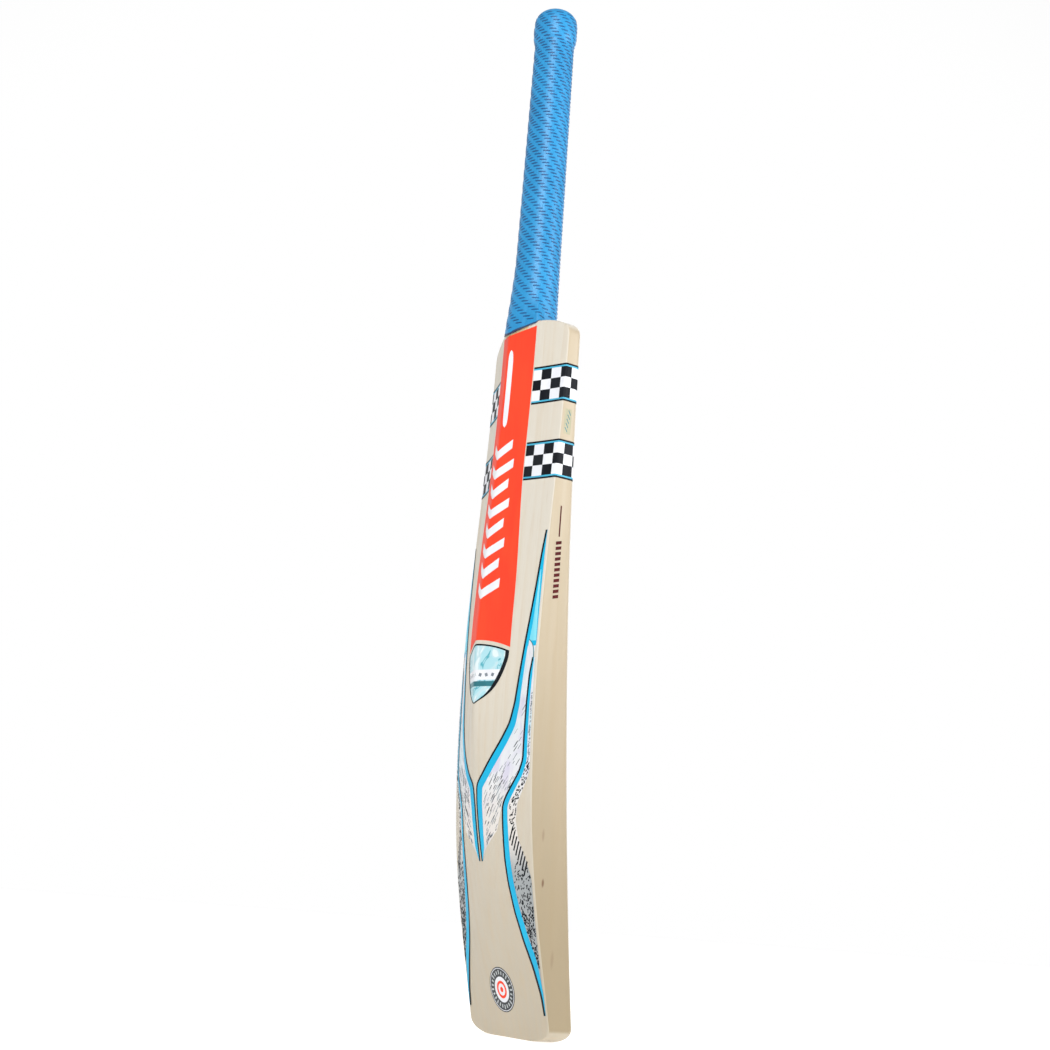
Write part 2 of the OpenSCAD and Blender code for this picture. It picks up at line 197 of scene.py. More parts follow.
class Shader:
    """A material's node tree, with short calls for the few nodes used here."""

    def __init__(self, name, rough=0.5, spec=0.5):
        self.material = bpy.data.materials.new(name)
        self.material.use_nodes = True
        self.tree = self.material.node_tree
        self.bsdf = self.tree.nodes["Principled BSDF"]
        self.bsdf.inputs["Roughness"].default_value = rough
        self.bsdf.inputs["Specular IOR Level"].default_value = spec
        self.where = self.node("ShaderNodeTexCoord").outputs["Object"]

    def node(self, kind, **settings):
        n = self.tree.nodes.new(kind)
        for key, value in settings.items():
            setattr(n, key, value)
        return n

    def link(self, a, b):
        self.tree.links.new(a, b)

    def put(self, socket, value):
        if hasattr(value, "is_output"):
            self.link(value, socket)
        else:
            socket.default_value = value

    def scaled(self, x, y, z):
        n = self.node("ShaderNodeMapping")
        self.link(self.where, n.inputs["Vector"])
        n.inputs["Scale"].default_value = (x, y, z)
        return n.outputs["Vector"]

    def noise(self, vector, scale, detail=3, rough=0.5, distortion=0.0):
        n = self.node("ShaderNodeTexNoise")
        self.link(vector, n.inputs["Vector"])
        n.inputs["Scale"].default_value = scale
        n.inputs["Detail"].default_value = detail
        n.inputs["Roughness"].default_value = rough
        n.inputs["Distortion"].default_value = distortion
        return n.outputs["Fac"]

    def math(self, operation, a, b=0.0):
        n = self.node("ShaderNodeMath", operation=operation)
        for socket, value in zip(n.inputs, (a, b)):
            self.put(socket, value)
        return n.outputs[0]

    def span(self, value, low, high, to_low=0.0, to_high=1.0):
        """The value's place between low and high, as a number between to_low and to_high."""
        n = self.node("ShaderNodeMapRange", interpolation_type="SMOOTHSTEP")
        for socket, v in zip(n.inputs, (value, low, high, to_low, to_high)):
            self.put(socket, v)
        return n.outputs[0]

    def blend(self, factor, a, b):
        n = self.node("ShaderNodeMix", data_type="RGBA")
        self.put(n.inputs[0], factor)
        for socket, value in ((n.inputs[6], a), (n.inputs[7], b)):
            self.put(socket, value if hasattr(value, "is_output") else (*value, 1))
        return n.outputs[2]

    def axes(self):
        n = self.node("ShaderNodeSeparateXYZ")
        self.link(self.where, n.inputs[0])
        return n.outputs

    def bump(self, height, distance, strength=1.0):
        n = self.node("ShaderNodeBump")
        n.inputs["Distance"].default_value = distance
        n.inputs["Strength"].default_value = strength
        self.link(height, n.inputs["Height"])
        self.link(n.outputs["Normal"], self.bsdf.inputs["Normal"])

    def finish(self, colour, rough=None):
        self.put(self.bsdf.inputs["Base Color"], colour)
        if rough is not None:
            self.put(self.bsdf.inputs["Roughness"], rough)
        return self.material


def willow():
    s = Shader("willow", spec=0.35)
    x, y, z = s.axes()
    drift = s.noise(s.scaled(1, 1, 0.12), 14, 2)
    rings = s.math("ADD", s.math("MULTIPLY", x, 105), s.math("MULTIPLY", drift, 4.5))
    ring = s.math("FRACT", rings)
    line = s.math("MULTIPLY", s.span(ring, 0.35, 0.94), s.span(ring, 1.0, 0.94))
    fibre = s.noise(s.scaled(1, 1, 0.03), 900, 4, 0.6)
    streak = s.noise(s.scaled(1, 1, 0.05), 160, 3, 0.6)
    cloud = s.noise(s.scaled(1, 1, 0.35), 9, 2)
    # The wood darkens towards the toe: partly its own tone, partly painted shade for the rounded,
    # less lit toe
    base = s.blend(s.span(z, 0.0, 0.33), (0.45, 0.395, 0.305), (0.595, 0.555, 0.48))
    ring_shade = s.math("MULTIPLY", line, s.span(cloud, 0.3, 0.6, 0.05, 0.2))
    base = s.blend(ring_shade, base, (0.52, 0.40, 0.25))
    base = s.blend(s.span(streak, 0.45, 0.75, 0, 0.22), base, (0.52, 0.40, 0.25))
    base = s.blend(s.span(fibre, 0.52, 0.8, 0, 0.28), base, (0.45, 0.34, 0.22))
    base = s.blend(s.span(cloud, 0.35, 0.7, 0, 0.18), base, (0.68, 0.60, 0.46))
    # The edges are darker: partly heartwood, partly painted shade on the sides turned away from the
    # key light; towards the toe they darken further as painted shade
    normal = s.node("ShaderNodeNewGeometry").outputs["Normal"]
    split = s.node("ShaderNodeSeparateXYZ")
    s.link(normal, split.inputs[0])
    side = s.span(s.math("ABSOLUTE", split.outputs[0]), 0.75, 0.97)
    edge_heartwood_and_shade = s.blend(s.span(z, 0.05, 0.5), (0.285, 0.22, 0.125), (0.44, 0.36, 0.245))
    patch = s.noise(s.scaled(1, 1, 0.15), 30, 3)
    edge_heartwood_and_shade = s.blend(s.span(patch, 0.4, 0.7, 0, 0.35), edge_heartwood_and_shade, (0.38, 0.28, 0.165))
    base = s.blend(s.math("MULTIPLY", side, 0.82), base, edge_heartwood_and_shade)
    # A small knot and two fainter marks on the right edge
    for height, depth, wide, tall, shade in KNOTS:
        across = s.math("DIVIDE", s.math("SUBTRACT", y, depth * MM), wide * MM)
        along = s.math("DIVIDE", s.math("SUBTRACT", z, height * MM), tall * MM)
        reach = s.math(
            "SQRT",
            s.math("ADD", s.math("MULTIPLY", across, across), s.math("MULTIPLY", along, along)),
        )
        spot = s.math("MULTIPLY", s.span(reach, 1.3, 0.3), s.span(x, 0, -0.05))
        base = s.blend(s.math("MULTIPLY", spot, shade), base, (0.13, 0.055, 0.025))
    s.bump(s.math("ADD", fibre, s.math("MULTIPLY", line, -0.7)), 0.00012, 0.55)
    return s.finish(base, s.span(streak, 0.3, 0.8, 0.40, 0.58))


def cane():
    s = Shader("cane", rough=0.55, spec=0.3)
    fibre = s.noise(s.scaled(1, 1, 0.02), 1500, 3, 0.6)
    tone = s.noise(s.scaled(1, 1, 0.1), 120, 2)
    colour = s.blend(s.span(fibre, 0.42, 0.66, 0, 0.75), (0.62, 0.45, 0.25), (0.34, 0.21, 0.10))
    colour = s.blend(s.span(tone, 0.4, 0.7, 0, 0.4), colour, (0.72, 0.56, 0.34))
    s.bump(fibre, 0.0001, 0.6)
    return s.finish(colour)


def sheet_rubber():
    s = Shader("sheet_rubber", rough=0.75, spec=0.25)
    grain = s.noise(s.where, 900, 3)
    s.bump(grain, 0.00008, 0.5)
    return s.finish(s.blend(s.span(grain, 0.3, 0.7), (0.018, 0.018, 0.02), (0.05, 0.05, 0.05)))


def thread():
    s = Shader("thread", rough=0.7, spec=0.2)
    z = s.axes()[2]
    turn = s.math("SINE", s.math("MULTIPLY", z, 2 * math.pi / (0.9 * MM)))
    fuzz = s.noise(s.scaled(1, 1, 6), 500, 3)
    s.bump(s.math("ADD", turn, fuzz), 0.00012, 0.7)
    # Painted shade: the thread is darker between its turns, where the bump dips
    colour = s.blend(s.span(turn, -1, 1), (0.42, 0.38, 0.29), (0.78, 0.74, 0.62))
    return s.finish(s.blend(s.span(fuzz, 0.5, 0.8, 0, 0.4), colour, (0.9, 0.87, 0.78)))


def grip_rubber(name, light, dark, rough):
    s = Shader(name, spec=0.5)
    skin = s.noise(s.where, 1400, 3)
    tone = s.noise(s.where, 45, 3)
    s.bump(skin, 0.00006, 0.5)
    colour = s.blend(s.span(tone, 0.35, 0.7), light, dark)
    return s.finish(colour, s.span(skin, 0.3, 0.7, rough, rough + 0.14))


def vinyl(name, light, dark, rough, scale=60, spec=0.35):
    """Printed film: a slow shift between two tones, faint scuffs along the blade, a little bump."""
    s = Shader(name, spec=spec)
    tone = s.noise(s.scaled(1, 1, 0.25), scale, 2, 0.5, 0.4)
    scuff = s.noise(s.scaled(1, 1, 0.06), 700, 3, 0.6)
    s.bump(s.math("ADD", tone, s.math("MULTIPLY", scuff, 0.15)), 0.0001, 0.2)
    colour = s.blend(s.span(tone, 0.35, 0.68), light, dark)
    return s.finish(colour, s.span(scuff, 0.4, 0.75, rough, rough + 0.16))


def silver():
    """Silvered film, with lilac and pale cyan tints that run across it."""
    s = Shader("silver_film", spec=0.6)
    s.bsdf.inputs["Metallic"].default_value = 0.25
    tint = s.noise(s.scaled(1, 1, 0.4), 55, 3, 0.55, 1.2)
    streak = s.noise(s.scaled(1, 1, 0.15), 260, 3)
    colour = s.blend(s.span(tint, 0.36, 0.50), (0.58, 0.70, 0.75), (0.72, 0.735, 0.76))
    colour = s.blend(s.span(tint, 0.52, 0.68), colour, (0.62, 0.60, 0.72))
    colour = s.blend(s.span(streak, 0.5, 0.75, 0, 0.35), colour, (0.50, 0.54, 0.58))
    # Below the elbow it is warmer, and towards the toe it turns grey
    colour = s.blend(s.span(s.axes()[2], 0.155, 0.205, 0.7, 0), colour, (0.66, 0.60, 0.53))
    colour = s.blend(s.span(s.axes()[2], 0.118, 0.150), (0.30, 0.32, 0.325), colour)
    s.bump(streak, 0.0001, 0.2)
    return s.finish(colour, s.span(streak, 0.3, 0.7, 0.32, 0.46))


def marbled():
    """Pale cyan film with wandering teal veins."""
    s = Shader("marbled_film", spec=0.6)
    flow = s.noise(s.scaled(1, 1, 0.8), 42, 2, 0.5, 2.0)
    wave = s.math("ABSOLUTE", s.math("SUBTRACT", s.math("FRACT", s.math("MULTIPLY", flow, 6)), 0.5))
    colour = s.blend(s.span(wave, 0.02, 0.22), (0.07, 0.36, 0.44), (0.36, 0.62, 0.68))
    colour = s.blend(s.span(flow, 0.5, 0.62), colour, (0.66, 0.76, 0.78))
    s.bump(flow, 0.0001, 0.2)
    return s.finish(colour, s.span(flow, 0.3, 0.7, 0.26, 0.4))


KNOTS = [  # height, depth in y, half-width, half-height, strength
    (115, -1, 1.2, 3.4, 0.85),
    (150, 1.5, 1.3, 5, 0.3),
    (60, -14, 1.6, 7, 0.22),
]

WILLOW = willow()
RED = vinyl("red_print", (0.86, 0.058, 0.020), (0.80, 0.046, 0.018), rough=0.5, spec=0.2)
WHITE = vinyl("white_print", (0.74, 0.75, 0.78), (0.68, 0.69, 0.73), rough=0.4)
BLACK = vinyl("black_print", (0.004, 0.005, 0.008), (0.010, 0.012, 0.016), rough=0.5, spec=0.15)
CYAN = vinyl("cyan_print", (0.003, 0.41, 0.66), (0.004, 0.36, 0.60), rough=0.42, spec=0.25)
BAND_BLUE = vinyl("band_blue_print", (0.06, 0.40, 0.58), (0.05, 0.33, 0.50), rough=0.42, spec=0.25)
PALE = vinyl("pale_cyan_print", (0.24, 0.66, 0.76), (0.10, 0.53, 0.68), rough=0.34, scale=90)
TEAL = vinyl("teal_print", (0.02, 0.14, 0.17), (0.04, 0.22, 0.26), rough=0.35)
GREY = vinyl("grey_print", (0.16, 0.19, 0.22), (0.26, 0.29, 0.32), rough=0.4)
RING = vinyl("ring_print", (0.018, 0.022, 0.025), (0.03, 0.035, 0.038), rough=0.4)
TICK = vinyl("tick_print", (0.40, 0.43, 0.44), (0.50, 0.52, 0.53), rough=0.4)
STAMP = vinyl("stamp_ink", (0.055, 0.006, 0.008), (0.09, 0.010, 0.012), rough=0.6, spec=0.15)
FOIL = vinyl("foil_print", (0.36, 0.345, 0.23), (0.43, 0.39, 0.26), rough=0.45, scale=400)
SILVER = silver()
MARBLE = marbled()

# ---- Blade ----

EDGE_STEPS = [0, 0.06, 0.2, 0.45, 0.8, 1.2, 1.8, 2.6, 3.6, 4.6]  # distances in from the edge


def slot_w(z):
    return mix(SPLICE_TIP_W, SPLICE_TOP_W, clamp01((z - SPLICE_Z) / (SHOULDER_Z - SPLICE_Z))) / 2


def section(z, side):
    """Half a section: the back from the edge inwards, then the face from the middle outwards."""
    w, s = float(half_w(z)), float(slot_w(z))
    outer = [w - d * w / HALF_W for d in EDGE_STEPS]
    xs = np.array(outer + list(np.linspace(outer[-1], s, 20))[1:])
    back = np.stack([side * xs, back_y(xs, z), np.full_like(xs, z)], -1)
    face = np.stack([side * xs, front_y(xs, z), np.full_like(xs, z)], -1)
    return back, face


def heights():
    toe = [0, 0.05, 0.15, 0.35, 0.7, 1.2, 1.8, 2.6, 3.6, 4.8, 6, 8, 10, TOE_ROUND]
    body = list(np.arange(16, SPLICE_Z, 4.0))
    top = [SHOULDER_Z - t for t in (16, 14, 12, 10, 8, 6, 4.5, 3.2, 2, 1.2, 0.6, 0.2, 0)]
    return toe + body + list(np.arange(SPLICE_Z, SHOULDER_Z - SHOULDER_DROP - 1, 4.0)) + top


def blade():
    zs = heights()
    fork = zs.index(SPLICE_Z)
    ridge = np.array([4, 2.8, 1.8, 1, 0.4, 0, -0.4, -1, -1.8, -2.8, -4])
    inner = SPLICE_TIP_W / 2
    rings = []
    for z in zs:
        left_back, left_face = section(z, 1)
        right_back, right_face = section(z, -1)
        xs = ridge[1:-1] * float(slot_w(z)) / inner
        level = np.full_like(xs, z)
        back = np.stack([xs, back_y(xs, z), level], -1)
        face = np.stack([xs, front_y(xs, z), level], -1)
        rings.append(
            np.concatenate(
                [left_back, back, right_back[::-1], right_face, face[::-1], left_face[::-1]]
            )
        )
    n = len(rings[0])
    per_side = len(section(0, 1)[0])
    half = n // 2
    b = Build()

    def loop(columns, k):
        m = len(columns)
        return [
            (
                k * n + columns[i],
                k * n + columns[(i + 1) % m],
                (k + 1) * n + columns[(i + 1) % m],
                (k + 1) * n + columns[i],
            )
            for i in range(m)
        ]

    def cap(k, first, last):
        """A flat end across the columns of the back from first to last."""
        back, face = k * n, k * n + n - 1
        return [(back + i, back + i + 1, face - 1 - i, face - i) for i in range(first, last)]

    whole = list(range(n))
    left = list(range(per_side)) + list(range(n - per_side, n))
    right = list(range(half - per_side, half + per_side))
    faces = cap(0, 0, half - 1)
    for k in range(fork):
        faces += loop(whole, k)
    faces += cap(fork, per_side - 1, half - per_side)
    for k in range(fork, len(zs) - 1):
        faces += loop(left, k) + loop(right, k)
    faces += cap(len(zs) - 1, 0, per_side - 1) + cap(len(zs) - 1, half - per_side, half - 1)
    used = sorted({i for f in faces for i in f})
    place = {v: i for i, v in enumerate(used)}
    points = np.concatenate(rings)[used]
    b.add(points, [tuple(place[i] for i in f) for f in faces])
    stamp(b)
    return b.piece("blade_body", [WILLOW, STAMP], ["blade"], sharp=50)


# ---- Thin prints that follow the blade ----


def surface(u, z):
    """The blade's outside at distance u from the middle, round the corner and down the edge."""
    x = np.minimum(np.abs(u), HALF_W)
    down = np.maximum(np.abs(u) - HALF_W, 0)
    depth = back_y(HALF_W, z) - front_y(HALF_W, z)
    turn = np.clip((down - depth) / FACE_R, 0, 1.4)
    x = np.where(turn > 0, HALF_W - FACE_R * (1 - np.cos(turn)), x)
    y = np.where(turn > 0, front_y(x, z), back_y(x, z) - down)
    return np.stack([np.sign(u) * x, y, z], -1)


def raised(u, z, lift):
    h = 0.25
    along_u = surface(u + h, z) - surface(u - h, z)
    along_z = surface(u, z + h) - surface(u, z - h)
    out = np.cross(along_z, along_u)
    return surface(u, z) + lift * out / np.linalg.norm(out, axis=-1, keepdims=True)


# Over the wood: a print's underside and top, and how much higher each level lies than the last
FILM_LOW, FILM_HIGH, FILM_STEP = 0.03, 0.11, 0.05


def layer(b, u, z, level=0, kind=0):
    """A thin closed sheet on the blade, through a grid of places u, z."""
    u, z = np.broadcast_arrays(np.asarray(u, float), np.asarray(z, float))
    rows, cols = u.shape
    low = FILM_LOW + FILM_STEP * level
    high = FILM_HIGH + FILM_STEP * level
    count = rows * cols
    top = grid_faces(rows, cols)
    bottom = [tuple(i + count for i in f[::-1]) for f in top]
    rim = (
        [c for c in range(cols)]
        + [r * cols + cols - 1 for r in range(1, rows)]
        + [(rows - 1) * cols + c for c in range(cols - 2, -1, -1)]
        + [r * cols for r in range(rows - 2, 0, -1)]
    )
    walls = [
        (rim[i], rim[i] + count, rim[(i + 1) % len(rim)] + count, rim[(i + 1) % len(rim)])
        for i in range(len(rim))
    ]
    points = np.concatenate([raised(u, z, high).reshape(-1, 3), raised(u, z, low).reshape(-1, 3)])
    b.add(points, top + bottom + walls, kind)


def between(b, zs, low, high, cols, level=0, kind=0):
    """A sheet from u = low(z) to u = high(z)."""
    zs = np.asarray(zs, float)[:, None]
    layer(b, mix(low(zs), high(zs), np.linspace(0, 1, cols)[None, :]), zs, level, kind)


def ribbon(b, points, near, far, level=0, kind=0, side=1, cols=3, step=1.5):
    """A ribbon along points (u, z), from near to far to the right of their direction of travel."""
    p = resampled(points, step)
    along = np.gradient(p, axis=0)
    along /= np.linalg.norm(along, axis=1, keepdims=True)
    across = np.stack([along[:, 1], -along[:, 0]], -1)
    t = np.linspace(0, 1, len(p))
    a = near(t) if callable(near) else np.full(len(p), float(near))
    c = far(t) if callable(far) else np.full(len(p), float(far))
    f = np.linspace(0, 1, cols)[None, :]
    offset = mix(a[:, None], c[:, None], f)
    layer(
        b,
        side * (p[:, 0:1] + across[:, 0:1] * offset),
        p[:, 1:2] + across[:, 1:2] * offset,
        level,
        kind,
    )


def resampled(points, step):
    """The points' path at even steps, with its corners eased."""
    p = np.array(points, float)
    length = np.concatenate([[0], np.cumsum(np.linalg.norm(np.diff(p, axis=0), axis=1))])
    count = max(2, int(length[-1] / step) + 1)
    at = np.linspace(0, length[-1], count)
    reach = 3.0
    ease = [np.clip(at + d, 0, length[-1]) for d in (-reach, -reach / 2, 0, reach / 2, reach)]
    q = sum(np.stack([np.interp(a, length, p[:, k]) for k in (0, 1)], -1) for a in ease) / len(ease)
    q[0], q[-1] = p[0], p[-1]
    return q


def stroke(b, u, z, long, wide, lean, level, kind):
    """A short straight mark at u, z, leaning from the vertical."""
    du, dz = math.sin(lean), math.cos(lean)
    a = np.linspace(-0.5, 0.5, 2 + int(long / 1.5))[:, None] * long
    c = np.array([-0.5, 0.5])[None, :] * wide
    layer(b, u + a * du + c * dz, z + a * dz - c * du, level, kind)


# ---- Spine label, with plain marks in place of its lettering ----


LABEL_W_LOW, LABEL_W_TOP, LABEL_TOP, LABEL_GAP = 29, 24, 554, 3
CHEVRONS, CHEVRON_Z, CHEVRON_PITCH = 8, 331, 16.5
STRIPE_U, STRIPE_Z, STRIPE_W, STRIPE_L = -3.6, 507.5, 2.2, 33.5  # centre and half-sizes


def label_w(z):
    return mix(LABEL_W_LOW, LABEL_W_TOP, smooth((z - 330) / 120))


def stripe_w(z):
    return STRIPE_W * np.sqrt(clamp01(1 - ((z - STRIPE_Z) / STRIPE_L) ** 8))


BADGE_TOP, BADGE_TIP, BADGE_W, BADGE_ARC = 295, 248, 28.3, 6


def badge_top(u):
    return BADGE_TOP - BADGE_ARC * (u / BADGE_W) ** 2


def badge_bottom(u):
    return BADGE_TIP + 0.55 * np.abs(u) + 32e-6 * u**4


def chevron(b, z, reach, thick, rise, level, kind):
    """A V across the spine, its point down."""
    u = np.linspace(-reach, reach, 33)[None, :]
    t = np.linspace(0, 1, 4)[:, None]
    layer(b, u, z + rise * np.abs(u) / reach + thick * t, level, kind)


def spine_label():
    b = Build()
    f = np.linspace(-1, 1, 61)[None, :]
    t = np.linspace(0, 1, 90)[:, None]
    z = mix(BADGE_TOP + LABEL_GAP, LABEL_TOP, t)
    u = f * label_w(z)
    arc = -BADGE_ARC * (u / BADGE_W) ** 2 * (1 - smooth(t / 0.2))
    beside_grip = 0.25 * np.maximum(np.abs(u) - 2, 0) * smooth((t - 0.9) / 0.1)
    layer(b, u, z + arc + beside_grip, 0, 0)
    for k in range(CHEVRONS):
        chevron(b, CHEVRON_Z + CHEVRON_PITCH * k, 12.5 if k % 2 else 15, 7.5, 9, 1, 1)
    between(
        b,
        np.linspace(STRIPE_Z - STRIPE_L, STRIPE_Z + STRIPE_L, 40),
        lambda z: STRIPE_U - stripe_w(z),
        lambda z: STRIPE_U + stripe_w(z),
        6,
        1,
        1,
    )
    b.piece("spine_label_print", [RED, WHITE], ["spine_label"])


def badge():
    b = Build()
    u = np.linspace(-BADGE_W, BADGE_W, 57)[None, :]
    top = np.maximum(badge_top(u), badge_bottom(u) + 0.02)
    layer(b, u, mix(badge_bottom(u), top, np.linspace(0, 1, 24)[:, None]))

    def cut(z):
        """The shield's half-width at height z."""
        us = np.linspace(0, BADGE_W, 200)
        return float(np.interp(z, badge_bottom(us), us))

    for low, high, kind, margin in [(266.5, 274.5, 2, 1.5), (261.5, 265.5, 3, 3)]:
        w = lambda z: np.vectorize(cut)(z) - margin
        between(b, np.linspace(low, high, 6), lambda z: -w(z), w, 40, 1, kind)
    for k in range(-3, 4):
        stroke(b, 5.2 * k, 270.5, 2.6, 2.2, 0.35 * (-1) ** k, 2, 4)
    side = [(u, float(badge_bottom(np.array(float(u))))) for u in np.linspace(0.2, BADGE_W, 24)]
    side.append((BADGE_W, float(badge_top(BADGE_W))))
    crown = [(u, float(badge_top(u))) for u in np.linspace(0, BADGE_W, 16)]
    for s in (1, -1):
        ribbon(b, side, lambda t: -0.7 - 2.2 * smooth((t - 0.05) / 0.5), 0.2, 2, 1, side=s)
        ribbon(b, crown, 0, 1.3, 2, 1, side=s)
    b.piece("badge_print", [MARBLE, BLACK, WHITE, TEAL, GREY], ["badge_label"])


# ---- Chequered bands ----

BAND_H, LINE_H, BLUE_H = 32, 1.5, 1.3
BAND_NEAR = 24.9


def band(name, node, low_z, side, black_first):
    b = Build()
    square = (BAND_H - 2 * (LINE_H + BLUE_H)) / 3
    top = low_z + BAND_H

    def end(z):
        """Distance out at which the band ends, part of the way round the face corner."""
        return HALF_W + back_y(HALF_W, z) - front_y(HALF_W, z) + 0.9 * FACE_R

    reach = float(end(low_z + BAND_H / 2))

    def places(low, high):
        """Columns between two distances out, closer together round the corner."""
        full = np.concatenate(
            [
                np.arange(BAND_NEAR, HALF_W - 2, 1.5),
                HALF_W + np.arange(-2, 2.01, 0.4),
                reach - np.arange(6, -0.1, -0.6),
            ]
        )
        inside = full[(full > low + 0.05) & (full < high - 0.05)]
        return np.concatenate([[low], inside, [high]])

    def patch(low, high, z0, z1, level, kind):
        u = places(low, high)[None, :]
        z = np.linspace(z0, z1, 3)[:, None]
        # The far end keeps to the face corner, which shifts with height
        past = np.maximum(u - HALF_W - 2, 0) / (reach - HALF_W - 2)
        stretch = (end(z) - reach) * past
        layer(b, side * (u + stretch), z + 0 * u, level, kind)

    patch(BAND_NEAR, reach, low_z, top, 0, 0)
    for z0, z1, kind in [
        (low_z, low_z + LINE_H, 1),
        (low_z + LINE_H, low_z + LINE_H + BLUE_H, 2),
        (top - LINE_H - BLUE_H, top - LINE_H, 2),
        (top - LINE_H, top, 1),
    ]:
        patch(BAND_NEAR, reach, z0, z1, 1, kind)
    first = HALF_W + square / 2
    for row in range(3):
        z0 = low_z + LINE_H + BLUE_H + row * square
        for k in range(-4, 3):
            low = max(first + (k - 1) * square, BAND_NEAR)
            high = min(first + k * square, reach)
            if high - low > 0.5 and (k + row + black_first) % 2 == 0:
                patch(low, high, z0, z0 + square, 1, 1)
    b.piece(name, [WHITE, BLACK, BAND_BLUE], [node])


# ---- Leaf panels. Points are (distance out from the middle, height) ----

OUTER_LINE = [
    (1.9, 129), (1.8, 172), (2.8, 186), (11, 196), (21, 211), (27, 221), (33, 233),
    (36.4, 248), (39.2, 270), (41.5, 288), (45, 316), (47.6, 340), (49.7, 366), (51.6, 384),
]
OUTER_FAR = [
    (2.5, 129), (8, 138), (22.5, 152), (28.3, 171), (32, 178), (42.5, 195), (45.6, 205),
    (46.2, 240), (47.6, 270), (49.8, 283), (52, 294), (52, 384),
]
INNER_LINE = [
    (51.8, 20), (50.4, 34), (45.2, 53), (38, 73), (32.7, 93), (29.5, 114), (28.4, 131),
    (28.6, 160), (29, 171), (32.4, 178), (42.8, 195), (46.2, 205), (46.4, 224), (47, 248),
    (48.2, 270), (50.2, 283),
]
INNER_FAR = [
    (52, 20), (52, 115), (51.4, 120), (47.5, 132), (42, 147), (40.4, 160), (42, 172.5),
    (50, 191), (52, 198), (52, 283),
]
CROWN = [(50.2, 280), (50.4, 286), (50.0, 290), (48.9, 293.5), (46.9, 296.2), (45.6, 297)]
DIAGONAL = math.atan2(30, 47)  # the lean of the outer panel's diagonal, from the vertical
BASE, LINE, BORDER, INK, MIDDLE, RIM = range(6)  # the panels' materials


def across(points):
    """Distance out as a function of height."""
    p = np.array(points, float)
    return lambda z: np.interp(z, p[:, 1], p[:, 0])


def panel_sheet(b, side, line, far):
    """A sheet from a panel's line out to its far side. Returns both as functions of height."""
    near, out = across(line), across(far)
    low, high = line[0][1], line[-1][1]
    zs = np.concatenate([np.arange(low, high, 2.5), [high]])[:, None]
    wide = np.maximum(out(zs), near(zs) + 0.25)
    layer(b, side * mix(near(zs), wide, np.linspace(0, 1, 9)[None, :]), zs)
    return near, out


def outer_panel(side, suffix, draw):
    b = Build()
    near, far = panel_sheet(b, side, OUTER_LINE, OUTER_FAR)
    f = np.linspace(0, 1, 9)[None, :]

    def wide(z):
        return np.maximum(far(z), near(z) + 0.25)

    # The upper leaf is blue all over, with a paler middle
    zs = np.linspace(292, 383, 40)[:, None]
    layer(b, side * mix(near(zs), wide(zs), f), zs, 1, BORDER)
    zs = np.linspace(296, 352, 24)[:, None]
    mid_low = near(zs) + 3.2 * clamp01((372 - zs) / 60)
    mid_high = np.maximum(wide(zs) - 0.4 - 1.2 * clamp01((zs - 296) / 56), mid_low + 0.1)
    layer(b, side * mix(mid_low, mid_high, np.linspace(0, 1, 4)[None, :]), zs, 2, MIDDLE)
    # The silver leaf's rounded top reaches up into the blue
    zs = np.linspace(280, 297, 18)[:, None]
    left = near(zs) + 3.2 - 0.2 * (zs - 288) / 9
    layer(b, side * mix(left, np.maximum(across(CROWN)(zs), left + 0.1), f), zs, 2, BASE)
    ribbon(b, CROWN, -0.3, 0.3, 3, RIM, side, cols=2, step=1.0)
    # Black outline beside the spine, and the blue border inside it
    ribbon(b, OUTER_LINE, -1.0, 0.5, 3, LINE, side)
    along = [0, 0.04, 0.12, 0.22, 0.42, 0.52, 0.62, 1]
    width = [0.7, 4.4, 5.6, 6.2, 5.4, 3.6, 2.8, 0.7]
    ribbon(b, OUTER_LINE, 0.5, lambda t: np.interp(t, along, width), 2, BORDER, side)
    # Fine slanted dashes, thick near the elbow and at the lower tip
    for _ in range(420):
        z = draw.uniform(134, 288)
        elbow = math.exp(-(((z - 182) / 18) ** 2))
        dense = elbow + 0.8 * math.exp(-(((z - 145) / 8) ** 2)) + 0.12
        a, c = float(near(z)) + 8.5, float(far(z)) - 1.2
        if c < a + 0.5 or draw.random() > dense:
            continue
        u = draw.uniform(a, c)
        long = draw.uniform(2.2, 7) if z > 158 else draw.uniform(1.5, 4)
        thick = draw.uniform(0.28, 0.55)
        stroke(b, side * u, z, long, thick, side * DIAGONAL, 1, draw.choice([INK, INK, LINE]))
    b.piece(
        "outer_panel_print_" + suffix,
        [SILVER, BLACK, CYAN, GREY, PALE, TEAL],
        ["outer_panel_" + suffix],
    )


